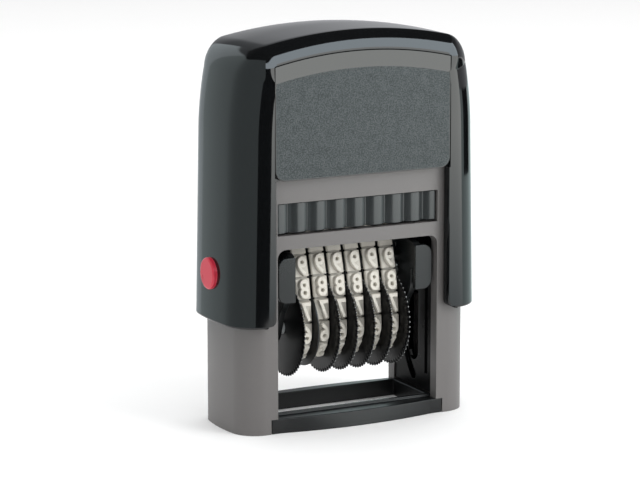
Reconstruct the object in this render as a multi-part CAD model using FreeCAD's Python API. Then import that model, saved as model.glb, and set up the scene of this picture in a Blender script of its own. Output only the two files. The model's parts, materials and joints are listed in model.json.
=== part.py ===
import FreeCAD, Part
import math
import os

# Self-inking number stamp with six number bands, at rest with its cap up.
# Millimetres. +X is to the right, -Y is the front, +Z is up.
# The origin is the middle of the footprint, on the surface that the stamp stands on.

Vector = FreeCAD.Vector

# Frame, the grey tube with a window on the front and on the rear
FRAME_HALF_X = 29.2
FRAME_HALF_Y = 11.3
FRAME_BULGE = 1.6
FRAME_CORNER_R = 6.0
FRAME_WALL = 2.7
FRAME_TOP = 59.0
WINDOW_HALF_X = 20.0
WINDOW_BOTTOM = 3.3
WINDOW_TOP = 41.3
BAY_BOTTOM = 44.4
BAY_TOP = 51.6
DECK_BOTTOM = 52.0
DECK_TOP = 53.8

# Cap, the gloss shell that is pushed down
CAP_HALF_X = 31.7
CAP_TOP_HALF_X = 30.2
CAP_HALF_Y = 13.8
CAP_BULGE = 1.5
CAP_CORNER_R = 7.5
CAP_BOTTOM = 24.6
CAP_TOP = 89.0
CAP_ARCH_R = 105.0
CAP_WALL = 2.2
CAP_RIM_R = 2.2
CAP_FIT = 0.35
OPENING_HALF_X = 21.4
OPENING_TOP = 57.0
PANEL_HALF_X = 21.7
PANEL_ARCH_R = 95.0
PANEL_TOP = 84.5
LABEL_TOP = 80.8
PANEL_THICK = 0.9
LABEL_THICK = 0.3

# Stroke and the turn-over of the die holder
STROKE = 20.0
INKED_Z = 44.7
REACH = (INKED_Z - STROKE) / 2 + 0.05
PIVOT_Z = INKED_Z - REACH
PIVOT_R = 2.0
FIT = 0.05

# Number wheels and bands
BAND_PITCH = 4.4
BAND_COUNT = 6
BAND_WIDTH = 3.6
BAND_THICK = 1.6
BAND_WHEEL_R = 7.8
AXLE_Z = 21.3
AXLE_R = 1.55
DISC_R = 11.2
DISC_THICK = 0.5
DRUM_R = 5.9
CHEEK_INNER_X = 15.0
CHEEK_THICK = 1.6
CHEEK_R = 8.3
WING_HALF_Y = 10.2
WING_CORNER_R = 2.4
BLADE_OUTER_X = 19.3
BLADE_INNER_Y = 8.9
BLADE_BOTTOM = -3.4
BLADE_TOP = 6.8
BLADE_CORNER_R = 2.2
FOLLOWER_ARM = 5.6
FOLLOWER_R = 1.0
PLATEN_HALF_Y = 3.3
WEB_SKIRT_HALF_X = 14.5

# Yoke inside the cap
ARM_INNER_X = 22.0
ARM_THICK = 2.0
ARM_HALF_Y = 4.5
YOKE_BOTTOM = 80.0
YOKE_THICK = 2.2

# Guide plates, ink cartridge, foot and lock buttons
GUIDE_INNER_X = 20.3
GUIDE_THICK = 1.3
TRACK_DEPTH = 0.8
TRAY_HALF_X = 19.8
TRAY_HALF_Y = 10.7
TRAY_BOTTOM = 44.8
TRAY_TOP = 51.4
RIB_PITCH = 4.83
RIB_DEPTH = 0.8
FOOT_HALF_X = 21.5
FOOT_HEIGHT = 3.3
FOOT_LIP = 3.9
FOOT_GAP_HALF_Y = 7.4
BUTTON_Z = 35.3
BUTTON_R = 3.55


def save(shape, node):
    shape.exportStep("parts/" + node + ".step")


def box(x0, x1, y0, y1, z0, z1):
    return Part.makeBox(x1 - x0, y1 - y0, z1 - z0, Vector(x0, y0, z0))


def rod_x(x0, x1, radius, y=0.0, z=0.0):
    return Part.makeCylinder(radius, x1 - x0, Vector(x0, y, z), Vector(1, 0, 0))


def mirrored(shape):
    return shape.mirror(Vector(0, 0, 0), Vector(1, 0, 0))


def turned(shape):
    """The same shape half a turn about Z, for what is alike on the front and the rear."""
    copy = shape.copy()
    copy.rotate(Vector(0, 0, 0), Vector(0, 0, 1), 180)
    return copy


def plan_wire(half_x, half_y, bulge, corner_r, z):
    """Outline with straight front and rear, arched sides and round corners tangent to both."""
    side_r = (half_y ** 2 + bulge ** 2) / (2 * bulge)
    side_cx = half_x - side_r
    corner_y = half_y - corner_r
    corner_x = side_cx + math.sqrt((side_r - corner_r) ** 2 - corner_y ** 2)
    lean = math.atan2(corner_y, corner_x - side_cx)
    half_lean = (lean + math.pi / 2) / 2

    def on_corner(angle, sx, sy):
        x = corner_x + corner_r * math.cos(angle)
        y = corner_y + corner_r * math.sin(angle)
        return Vector(sx * x, sy * y, z)

    edges = []
    for sx, sy in ((1, -1), (1, 1), (-1, 1), (-1, -1)):
        start, end = (math.pi / 2, lean) if sx * sy < 0 else (lean, math.pi / 2)
        edges.append(Part.Arc(on_corner(start, sx, sy), on_corner(half_lean, sx, sy),
                              on_corner(end, sx, sy)).toShape())
        if sx * sy < 0:
            edges.append(Part.Arc(on_corner(lean, sx, sy), Vector(sx * half_x, 0, z),
                                  on_corner(lean, sx, -sy)).toShape())
        else:
            edges.append(Part.makeLine(on_corner(math.pi / 2, sx, sy),
                                       on_corner(math.pi / 2, -sx, sy)))
    return Part.Wire(edges)


def plan_prism(half_x, half_y, bulge, corner_r, z0, z1):
    face = Part.Face(plan_wire(half_x, half_y, bulge, corner_r, z0))
    return face.extrude(Vector(0, 0, z1 - z0))


def arched_prism(half_x, z0, z_apex, arch_r, y0, y1, shoulder_r=0.0):
    """Upright plate with straight sides and an arched top, with round shoulders if asked for."""
    centre_z = z_apex - arch_r
    if shoulder_r:
        shoulder_x = half_x - shoulder_r
        shoulder_z = centre_z + math.sqrt((arch_r - shoulder_r) ** 2 - shoulder_x ** 2)
        lean = math.atan2(shoulder_z - centre_z, shoulder_x)
        mid = Vector(shoulder_x + shoulder_r * math.cos(lean / 2), y0,
                     shoulder_z + shoulder_r * math.sin(lean / 2))
        end = Vector(arch_r * math.cos(lean), y0, centre_z + arch_r * math.sin(lean))
        side_top = Vector(half_x, y0, shoulder_z)
    else:
        end = Vector(half_x, y0, centre_z + math.sqrt(arch_r ** 2 - half_x ** 2))
        side_top = end

    def flip(point):
        return Vector(-point.x, point.y, point.z)

    low = Vector(half_x, y0, z0)
    edges = [Part.makeLine(flip(low), low), Part.makeLine(low, side_top)]
    if shoulder_r:
        edges.append(Part.Arc(side_top, mid, end).toShape())
    edges.append(Part.Arc(end, Vector(0, y0, z_apex), flip(end)).toShape())
    if shoulder_r:
        edges.append(Part.Arc(flip(end), flip(mid), flip(side_top)).toShape())
    edges.append(Part.makeLine(flip(side_top), flip(low)))
    return Part.Face(Part.Wire(edges)).extrude(Vector(0, y1 - y0, 0))


def window_cut(half_x, z0, z1, corner_r, reach_y):
    """Block that cuts a window with round top corners through front and rear."""
    block = box(-half_x, half_x, -reach_y, reach_y, z0, z1)
    tops = [e for e in block.Edges if abs(e.CenterOfMass.z - z1) < 0.01
            and abs(abs(e.CenterOfMass.x) - half_x) < 0.01]
    return block.makeFillet(corner_r, tops)


def frame_shell():
    upper_z = 47.0
    upper_half_x = FRAME_HALF_X - 1.3
    outer = plan_prism(FRAME_HALF_X, FRAME_HALF_Y, FRAME_BULGE, FRAME_CORNER_R, 0, upper_z)
    outer = outer.fuse(plan_prism(upper_half_x, FRAME_HALF_Y, FRAME_BULGE, FRAME_CORNER_R,
                                  upper_z, FRAME_TOP))
    inner_r = FRAME_CORNER_R - FRAME_WALL
    inner_y = FRAME_HALF_Y - FRAME_WALL
    well = plan_prism(upper_half_x - FRAME_WALL, inner_y, FRAME_BULGE, inner_r, -1, FRAME_TOP + 1)
    shell = outer.cut(well)
    shell = shell.cut(window_cut(WINDOW_HALF_X, WINDOW_BOTTOM, WINDOW_TOP, 2.0, 15))
    shell = shell.cut(window_cut(WINDOW_HALF_X, BAY_BOTTOM, BAY_TOP, 0.3, 15))
    shell = shell.cut(box(-FOOT_HALF_X - 0.15, FOOT_HALF_X + 0.15, -15, 15, -1, WINDOW_BOTTOM))
    deck = plan_prism(upper_half_x - FRAME_WALL, inner_y, FRAME_BULGE, inner_r,
                      DECK_BOTTOM, DECK_TOP)
    slot = box(ARM_INNER_X - 0.4, ARM_INNER_X + ARM_THICK + 0.4, -ARM_HALF_Y - 0.4,
               ARM_HALF_Y + 0.4, DECK_BOTTOM - 1, DECK_TOP + 1)
    deck = deck.cut(slot).cut(mirrored(slot))
    bay_wall = box(WINDOW_HALF_X, GUIDE_INNER_X + GUIDE_THICK, -inner_y - 0.1, inner_y + 0.1,
                   43.9, DECK_BOTTOM)
    seat = Part.makeCylinder(5.4, 1.8, Vector(0, 0, DECK_TOP))
    seat = seat.cut(Part.makeCylinder(3.6, 2.0, Vector(0, 0, DECK_TOP)))
    return shell.fuse([deck, bay_wall, mirrored(bay_wall), seat]).removeSplitter()


def bowed_bar(depth_top, depth_bottom):
    """Front part of the foot: an outer face that bows out, more at its bottom edge."""
    half_x = FOOT_HALF_X - 1.0

    def bow(depth, z):
        y = -FRAME_HALF_Y + 0.3
        line = Part.makeLine(Vector(-half_x, y, z), Vector(half_x, y, z))
        arc = Part.Arc(Vector(half_x, y, z), Vector(0, -FRAME_HALF_Y - depth, z),
                       Vector(-half_x, y, z)).toShape()
        return Part.Wire([line, arc])

    return Part.makeLoft([bow(depth_bottom, 0), bow(depth_top, FOOT_HEIGHT)], True, True)


def base_foot():
    ring = box(-FOOT_HALF_X, FOOT_HALF_X, -FRAME_HALF_Y, FRAME_HALF_Y, 0, FOOT_HEIGHT)
    gap_x = 19.2
    lip = 1.0
    ridge = box(-gap_x - lip, gap_x + lip, -FOOT_GAP_HALF_Y - lip, FOOT_GAP_HALF_Y + lip,
                0, FOOT_LIP)
    bar = bowed_bar(1.0, 1.9)
    ring = ring.fuse([ridge, bar, turned(bar)])
    ring = ring.cut(box(-gap_x, gap_x, -FOOT_GAP_HALF_Y, FOOT_GAP_HALF_Y, -1, FOOT_LIP + 1))
    return ring.removeSplitter()


def follower_track():
    """Track of the follower pin: half a turn about the pivot while the pivot goes down."""
    steps = 16
    half_width = FOLLOWER_R + 0.15
    start_x = GUIDE_INNER_X - 1

    def path(step):
        turn = math.pi * step / steps
        return Vector(start_x, FOLLOWER_ARM * math.sin(turn),
                      PIVOT_Z - STROKE * step / steps + FOLLOWER_ARM * math.cos(turn))

    def edge_point(step, side):
        along = path(step + 0.01) - path(step - 0.01)
        along.normalize()
        return path(step) + Vector(0, -along.z, along.y) * (side * half_width)

    rails = []
    for side in (-1, 1):
        curve = Part.BSplineCurve()
        curve.interpolate([edge_point(step, side) for step in range(steps + 1)])
        rails.append(curve.toShape())
    caps = [Part.makeLine(edge_point(step, -1), edge_point(step, 1)) for step in (0, steps)]
    outline = Part.Wire(Part.sortEdges(rails + caps)[0])
    track = Part.Face(outline).extrude(Vector(1 + TRACK_DEPTH, 0, 0))
    for step in (0, steps):
        end = path(step)
        track = track.fuse(rod_x(start_x, start_x + 1 + TRACK_DEPTH, half_width, end.y, end.z))
    return track


def guide_plate():
    """Right-hand plate inside the frame: a slot for the pivot pin and a track to turn it over."""
    half_y = FRAME_HALF_Y - FRAME_WALL - 0.1
    x1 = GUIDE_INNER_X + GUIDE_THICK
    plate = box(GUIDE_INNER_X, x1, -half_y, half_y, FOOT_LIP + 0.1, 43.8)
    half_slot = PIVOT_R + 0.12
    low = PIVOT_Z - STROKE
    slot = box(GUIDE_INNER_X - 1, x1 + 1, -half_slot, half_slot, low, PIVOT_Z)
    for z in (low, PIVOT_Z):
        slot = slot.fuse(rod_x(GUIDE_INNER_X - 1, x1 + 1, half_slot, 0, z))
    groove = box(GUIDE_INNER_X - 1, GUIDE_INNER_X + 0.5, -6.6, -5.4, 8, 40)
    return plate.cut(slot).cut(groove).cut(follower_track()).removeSplitter()


def return_spring():
    turns = 5.5
    wire_r = 0.4
    coil_r = 6.2
    bottom = DECK_TOP + wire_r
    height = YOKE_BOTTOM - DECK_TOP - 2 * wire_r
    helix = Part.makeHelix(height / turns, height, coil_r)
    helix.translate(Vector(0, 0, bottom))
    section = Part.Wire(Part.makeCircle(wire_r, Vector(coil_r, 0, bottom), Vector(0, 1, 0)))
    return Part.Wire(helix).makePipeShell([section], True, True)


def ink_tray():
    """Upside-down tray that slides in from the front; its two ends are grips of rounded ribs."""
    root_y = TRAY_HALF_Y - RIB_DEPTH
    tray = box(-TRAY_HALF_X, TRAY_HALF_X, -root_y, root_y, TRAY_BOTTOM, TRAY_TOP)
    tray = tray.cut(box(-18.0, 18.0, -8.8, 8.8, TRAY_BOTTOM - 1, 48.6))
    rib_r = ((RIB_PITCH / 2) ** 2 + RIB_DEPTH ** 2) / (2 * RIB_DEPTH)
    for i in range(-4, 5):
        x0 = max(-TRAY_HALF_X, (i - 0.5) * RIB_PITCH)
        x1 = min(TRAY_HALF_X, (i + 0.5) * RIB_PITCH)
        for side in (-1, 1):
            middle = Vector(i * RIB_PITCH, side * (TRAY_HALF_Y - rib_r), TRAY_BOTTOM)
            rib = Part.makeCylinder(rib_r, TRAY_TOP - TRAY_BOTTOM, middle)
            y0, y1 = sorted((side * (root_y - 0.4), side * (TRAY_HALF_Y + 1)))
            tray = tray.fuse(rib.common(box(x0, x1, y0, y1, TRAY_BOTTOM, TRAY_TOP)))
    return tray.removeSplitter()


def ink_pad():
    return box(-17.9, 17.9, -8.7, 8.7, 45.0, 48.6)


def cap_body():
    """Solid outer form of the cap: tapered sides, arched top, one rounded edge all round."""
    high = CAP_TOP + 5
    low_wire = plan_wire(CAP_HALF_X, CAP_HALF_Y, CAP_BULGE, CAP_CORNER_R, CAP_BOTTOM)
    high_wire = plan_wire(CAP_TOP_HALF_X, CAP_HALF_Y, CAP_BULGE, CAP_CORNER_R, high)
    body = Part.makeLoft([low_wire, high_wire], True, True)
    body = body.common(arched_prism(33.0, 0, CAP_TOP, CAP_ARCH_R, -20, 20, shoulder_r=12.0))
    rim = [e for e in body.Edges if e.BoundBox.ZMin > CAP_TOP - 16
           and max(e.BoundBox.XLength, e.BoundBox.YLength) > 0.5
           and any(abs(v.Point.y) > 0.5 for v in e.Vertexes)]
    return body.makeFillet(CAP_RIM_R, rim)


def cap_shell():
    body = cap_body()
    inner_y = FRAME_HALF_Y + CAP_FIT
    inner_r = FRAME_CORNER_R + CAP_FIT
    step_z = 68.0
    lower = plan_prism(FRAME_HALF_X + CAP_FIT, inner_y, FRAME_BULGE, inner_r,
                       CAP_BOTTOM - 1, step_z)
    upper = plan_prism(FRAME_HALF_X - 1.3 + CAP_FIT, inner_y, FRAME_BULGE, inner_r,
                       step_z - 1, CAP_TOP)
    ceiling = arched_prism(31.0, 0, CAP_TOP - CAP_WALL - 0.5, CAP_ARCH_R, -20, 20, shoulder_r=10.0)
    shell = body.cut(lower.fuse(upper.common(ceiling)))
    shell = shell.cut(window_cut(OPENING_HALF_X, CAP_BOTTOM - 1, OPENING_TOP, 1.0, 20))
    recess = arched_prism(PANEL_HALF_X + 0.05, OPENING_TOP - 0.1, PANEL_TOP + 0.05, PANEL_ARCH_R,
                          -20, -CAP_HALF_Y + PANEL_THICK + LABEL_THICK + 0.1)
    shell = shell.cut(recess).cut(turned(recess))
    rib = box(13.2, 14.8, -inner_y, inner_y, YOKE_BOTTOM + YOKE_THICK, CAP_TOP - CAP_WALL)
    hole = rod_x(CAP_TOP_HALF_X - 5, CAP_HALF_X + 2, BUTTON_R + 0.1, 0, BUTTON_Z)
    counterbore = rod_x(CAP_TOP_HALF_X - 5, 30.9, BUTTON_R + 0.8, 0, BUTTON_Z)
    for cutter in (hole, counterbore):
        shell = shell.cut(cutter).cut(mirrored(cutter))
    return shell.fuse([rib, mirrored(rib)]).removeSplitter()


def lock_button():
    """Right-hand button: a domed head in the side of the cap with a flange behind it."""
    head = rod_x(30.4, 32.0, BUTTON_R, 0, BUTTON_Z)
    rims = [e for e in head.Edges if e.BoundBox.XMin > 31.9]
    head = head.makeFillet(0.5, rims)
    return head.fuse(rod_x(30.35, 30.85, BUTTON_R + 0.6, 0, BUTTON_Z)).removeSplitter()


def front_window():
    y0 = -CAP_HALF_Y
    return arched_prism(PANEL_HALF_X, OPENING_TOP, PANEL_TOP, PANEL_ARCH_R, y0, y0 + PANEL_THICK)


def front_label():
    y0 = -CAP_HALF_Y + PANEL_THICK + 0.05
    return arched_prism(PANEL_HALF_X - 0.2, OPENING_TOP + 0.4, LABEL_TOP, PANEL_ARCH_R,
                        y0, y0 + LABEL_THICK)


def yoke_bridge():
    outer_x = ARM_INNER_X + ARM_THICK
    plate = box(-outer_x, outer_x, -ARM_HALF_Y, ARM_HALF_Y, YOKE_BOTTOM, YOKE_BOTTOM + YOKE_THICK)
    peg = Part.makeCylinder(5.2, 1.8, Vector(0, 0, YOKE_BOTTOM - 1.8))
    return plate.fuse([peg, Part.makeCylinder(7.5, YOKE_THICK, Vector(0, 0, YOKE_BOTTOM))])


def yoke_arm():
    x1 = ARM_INNER_X + ARM_THICK
    arm = box(ARM_INNER_X, x1, -ARM_HALF_Y, ARM_HALF_Y, PIVOT_Z, YOKE_BOTTOM)
    arm = arm.fuse(rod_x(ARM_INNER_X, x1, ARM_HALF_Y, 0, PIVOT_Z))
    arm = arm.cut(box(ARM_INNER_X - 1, x1 + 1, -2.0, 2.0, PIVOT_Z + 8, YOKE_BOTTOM - 22))
    return arm.cut(rod_x(ARM_INNER_X - 1, x1 + 1, PIVOT_R, 0, PIVOT_Z)).removeSplitter()


def pivot_pin():
    x1 = ARM_INNER_X + ARM_THICK
    pin = rod_x(CHEEK_INNER_X - 0.2, x1, PIVOT_R, 0, PIVOT_Z)
    return pin.fuse(rod_x(x1, x1 + 0.9, PIVOT_R + 1.0, 0, PIVOT_Z))


def cheek():
    """Right-hand side plate of the die holder: round at the pivot, with wings to the front and
    rear that end in wide blades and shield the bands, and a tail to the axle."""
    x0 = CHEEK_INNER_X
    x1 = x0 + CHEEK_THICK
    top_z = INKED_Z - 0.6
    head = [(-PLATEN_HALF_Y + 0.4, top_z), (PLATEN_HALF_Y - 0.4, top_z),
            (6.6, PIVOT_Z + 5), (-6.6, PIVOT_Z + 5)]
    tail = [(5.5, PIVOT_Z - 6), (3.0, AXLE_Z - 1), (-3.0, AXLE_Z - 1), (-5.5, PIVOT_Z - 6)]
    plate = rod_x(x0, x1, CHEEK_R, 0, PIVOT_Z).fuse(rod_x(x0, x1, 3.2, 0, AXLE_Z))
    wing = box(x0, x1, -WING_HALF_Y, WING_HALF_Y, PIVOT_Z + 1.0, PIVOT_Z + 7.6)
    corners = [e for e in wing.Edges if e.BoundBox.YLength < 0.1 and e.BoundBox.ZLength < 0.1]
    plate = plate.fuse(wing.makeFillet(WING_CORNER_R, corners))
    for y0, y1 in ((-WING_HALF_Y, -BLADE_INNER_Y), (BLADE_INNER_Y, WING_HALF_Y)):
        blade = box(x0, BLADE_OUTER_X, y0, y1, PIVOT_Z + BLADE_BOTTOM, PIVOT_Z + BLADE_TOP)
        ends = [e for e in blade.Edges if e.BoundBox.XLength < 0.1 and e.BoundBox.ZLength < 0.1
                and e.CenterOfMass.x > x1]
        plate = plate.fuse(blade.makeFillet(BLADE_CORNER_R, ends))
    for outline in (head, tail):
        points = [Vector(x0, y, z) for y, z in outline]
        face = Part.Face(Part.makePolygon(points + points[:1]))
        plate = plate.fuse(face.extrude(Vector(CHEEK_THICK, 0, 0)))
    plate = plate.cut(rod_x(x0 - 1, x1 + 1, PIVOT_R + FIT, 0, PIVOT_Z))
    plate = plate.cut(rod_x(x0 - 1, x1 + 1, FOLLOWER_R, 0, PIVOT_Z + FOLLOWER_ARM))
    return plate.cut(rod_x(x0 - 1, x1 + 1, AXLE_R, 0, AXLE_Z)).removeSplitter()


def follower_pin():
    """Pin of the die holder that the track in the guide plate turns over."""
    return rod_x(CHEEK_INNER_X, GUIDE_INNER_X + TRACK_DEPTH - 0.2, FOLLOWER_R,
                 0, PIVOT_Z + FOLLOWER_ARM)


def platen_bar():
    """Bar inside the bands that backs the figures in use, with its web down to the pivot."""
    top = INKED_Z - BAND_THICK
    bar = box(-CHEEK_INNER_X, CHEEK_INNER_X, -1.35, 1.35, top - 1.6, top)
    web = box(-CHEEK_INNER_X, CHEEK_INNER_X, -0.9, 0.9, top - 8, top - 1.6)
    skirt = box(-WEB_SKIRT_HALF_X, WEB_SKIRT_HALF_X, -0.9, 0.9, AXLE_Z + DISC_R + 0.4, top - 8)
    return bar.fuse([web, skirt]).removeSplitter()


def band_face(inset):
    """Side view of one band: over the platen, down both sides and round the wheel."""
    wheel_r = BAND_WHEEL_R - inset
    lean = math.radians(10)
    top = INKED_Z - inset
    edge_y = PLATEN_HALF_Y - inset
    corner = 1.7 - min(inset, 1.4)
    low = Vector(0, wheel_r * math.cos(lean), AXLE_Z + wheel_r * math.sin(lean))
    high = Vector(0, edge_y, INKED_Z - 2.2)
    side_mid = (low + high) * 0.5 + Vector(0, 0.85, 0)
    corner_low = Vector(0, edge_y, top - corner)
    corner_mid = Vector(0, edge_y - 0.29 * corner, top - 0.29 * corner)
    flat = Vector(0, edge_y - corner, top)

    def across(point):
        return Vector(point.x, -point.y, point.z)

    half = [Part.Arc(flat, corner_mid, corner_low).toShape(), Part.makeLine(corner_low, high),
            Part.Arc(high, side_mid, low).toShape()]
    wheel_arc = Part.Arc(low, Vector(0, 0, AXLE_Z - wheel_r), across(low)).toShape()
    other = [Part.Arc(across(low), across(side_mid), across(high)).toShape(),
             Part.makeLine(across(high), across(corner_low)),
             Part.Arc(across(corner_low), across(corner_mid), across(flat)).toShape()]
    return Part.Face(Part.Wire(half + [wheel_arc] + other + [Part.makeLine(across(flat), flat)]))


def number_band(centre_x):
    width = Vector(BAND_WIDTH, 0, 0)
    band = band_face(0).extrude(width).cut(band_face(BAND_THICK).extrude(width))
    band.translate(Vector(centre_x - BAND_WIDTH / 2, 0, 0))
    return band


def number_wheel(centre_x, disc_side):
    """Finger disc and the drum that drives the band, in one moulding, free on the axle."""
    disc_x = centre_x + disc_side * BAND_PITCH / 2
    drum_end = centre_x - disc_side * 1.6
    low, high = sorted((disc_x, drum_end))
    wheel = rod_x(low, high, DRUM_R, 0, AXLE_Z)
    wheel = wheel.fuse(rod_x(disc_x - DISC_THICK / 2, disc_x + DISC_THICK / 2, DISC_R, 0, AXLE_Z))
    return wheel.cut(rod_x(low - 5, high + 5, AXLE_R + FIT, 0, AXLE_Z)).removeSplitter()


def separator_disc(x):
    disc = rod_x(x - 0.2, x + 0.2, 9.2, 0, AXLE_Z)
    return disc.cut(rod_x(x - 1, x + 1, AXLE_R, 0, AXLE_Z))


def axle_clip():
    x0 = CHEEK_INNER_X + CHEEK_THICK + 0.05
    clip = rod_x(x0, x0 + 0.7, 3.0, 0, AXLE_Z).cut(rod_x(x0 - 1, x0 + 2, AXLE_R, 0, AXLE_Z))
    return clip.cut(box(x0 - 1, x0 + 2, -1.2, 1.2, AXLE_Z - 5, AXLE_Z - 1.2))


def main():
    os.makedirs("parts", exist_ok=True)
    save(frame_shell(), "frame_shell")
    save(base_foot(), "base_foot")
    save(return_spring(), "return_spring")
    save(ink_tray(), "ink_tray")
    save(ink_pad(), "ink_pad")
    save(cap_shell(), "cap_shell")
    save(yoke_bridge(), "yoke_bridge")
    save(platen_bar(), "platen_bar")

    for name, shape in (("window", front_window()), ("label", front_label())):
        save(shape, "front_" + name)
        save(turned(shape), "rear_" + name)

    pairs = {"guide_plate": guide_plate(), "yoke_arm": yoke_arm(), "pivot_pin": pivot_pin(),
             "cheek": cheek(), "axle_clip": axle_clip(), "lock_button": lock_button(),
             "follower_pin": follower_pin()}
    for name, shape in pairs.items():
        save(shape, "right_" + name)
        save(mirrored(shape), "left_" + name)

    axle_end = CHEEK_INNER_X + CHEEK_THICK + 1.5
    save(rod_x(-axle_end, axle_end, AXLE_R, 0, AXLE_Z), "wheel_axle")
    save(separator_disc(-2 * BAND_PITCH), "band_separator")
    for i in range(BAND_COUNT):
        centre_x = (i - (BAND_COUNT - 1) / 2) * BAND_PITCH
        save(number_band(centre_x), "number_band_%d" % (i + 1))
        save(number_wheel(centre_x, -1 if i == 0 else 1), "number_wheel_%d" % (i + 1))


main()
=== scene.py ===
import json
import math

import bmesh
import bpy
import numpy as np
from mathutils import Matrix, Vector


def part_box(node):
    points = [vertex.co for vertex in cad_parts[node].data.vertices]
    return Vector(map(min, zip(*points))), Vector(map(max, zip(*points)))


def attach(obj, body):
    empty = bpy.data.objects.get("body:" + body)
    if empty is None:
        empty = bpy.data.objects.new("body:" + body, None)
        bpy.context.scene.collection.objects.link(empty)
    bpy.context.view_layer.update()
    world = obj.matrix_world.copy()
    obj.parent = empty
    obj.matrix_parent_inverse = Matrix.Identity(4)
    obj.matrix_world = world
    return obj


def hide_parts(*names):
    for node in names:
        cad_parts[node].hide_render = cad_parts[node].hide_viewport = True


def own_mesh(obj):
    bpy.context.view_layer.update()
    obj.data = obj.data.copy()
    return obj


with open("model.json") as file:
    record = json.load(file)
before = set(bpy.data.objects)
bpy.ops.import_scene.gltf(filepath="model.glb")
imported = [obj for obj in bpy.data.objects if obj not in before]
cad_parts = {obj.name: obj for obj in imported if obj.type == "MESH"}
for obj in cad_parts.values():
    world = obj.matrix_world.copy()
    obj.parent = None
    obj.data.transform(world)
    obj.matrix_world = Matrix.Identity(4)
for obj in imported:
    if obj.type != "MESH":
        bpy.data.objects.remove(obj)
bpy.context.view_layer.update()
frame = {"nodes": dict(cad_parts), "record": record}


# ---- Studio -------------------------------------------------------------------------------
# A pale table under a white room, one large soft box overhead and one to the right of the
# camera.
room = bpy.data.worlds.new("white_room")
bpy.context.scene.world = room
room.use_nodes = True
room_nodes = room.node_tree.nodes
room_links = room.node_tree.links
room_light = room_nodes["Background"]
room_light.inputs["Color"].default_value = (1.0, 1.0, 1.0, 1.0)
room_strength = 0.6
room_strength_in_gloss = 0.04
sight = room_nodes.new("ShaderNodeLightPath")
in_gloss = room_nodes.new("ShaderNodeMapRange")
in_gloss.inputs["To Min"].default_value = room_strength
in_gloss.inputs["To Max"].default_value = room_strength_in_gloss
room_links.new(sight.outputs["Is Glossy Ray"], in_gloss.inputs["Value"])
seen_bare = room_nodes.new("ShaderNodeMapRange")
seen_bare.inputs["To Max"].default_value = 1.0
room_links.new(sight.outputs["Is Camera Ray"], seen_bare.inputs["Value"])
room_links.new(in_gloss.outputs["Result"], seen_bare.inputs["To Min"])
room_links.new(seen_bare.outputs["Result"], room_light.inputs["Strength"])
bpy.context.scene.view_settings.view_transform = "Standard"

camera_data = bpy.data.cameras.new("camera")
camera_data.lens = 157.78
camera_data.sensor_width = 36.0
camera_data.clip_start = 0.05
camera = bpy.data.objects.new("camera", camera_data)
camera.location = (-0.28612, -0.54927, 0.16278)
camera_target = Vector((-0.00383, 0.0, 0.04027))
look = camera_target - camera.location
camera.rotation_mode = "QUATERNION"
camera.rotation_quaternion = look.to_track_quat("-Z", "Y")
bpy.context.collection.objects.link(camera)
bpy.context.scene.camera = camera

table_half = 3.0
table_mesh = bpy.data.meshes.new("table")
table_mesh.from_pydata([(-table_half, -table_half, 0), (table_half, -table_half, 0),
                        (table_half, table_half, 0), (-table_half, table_half, 0)], [],
                       [(0, 1, 2, 3)])
table = bpy.data.objects.new("table", table_mesh)
bpy.context.collection.objects.link(table)
table_white = bpy.data.materials.new("white_table")
table_white.use_nodes = True
table_shader = table_white.node_tree.nodes["Principled BSDF"]
table_shader.inputs["Base Color"].default_value = (0.9, 0.9, 0.9, 1)
table_shader.inputs["Roughness"].default_value = 0.8
table_shader.inputs["Emission Color"].default_value = (1, 1, 1, 1)
table_shader.inputs["Emission Strength"].default_value = 0.08
table_mesh.materials.append(table_white)


def soft_box(name, centre, target, width, height, watts):
    """A lamp with a wide face turned towards a target. Gloss doesn't pick it up."""
    lamp = bpy.data.lights.new(name, "AREA")
    lamp.shape = "RECTANGLE"
    lamp.size = width
    lamp.size_y = height
    lamp.energy = watts
    stand = bpy.data.objects.new(name, lamp)
    stand.location = centre
    stand.rotation_mode = "QUATERNION"
    stand.rotation_quaternion = (Vector(target) - Vector(centre)).to_track_quat("-Z", "Y")
    bpy.context.collection.objects.link(stand)
    stand.visible_glossy = False


soft_box("overhead_box", centre=(0.05, 0.15, 1.2), target=(0, 0, 0), width=1.4, height=1.4, watts=11)
soft_box("right_box", centre=(0.55, -0.75, 0.5), target=(0, 0, 0.04), width=0.5, height=0.7, watts=5)
card_strength = 10.0


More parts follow.
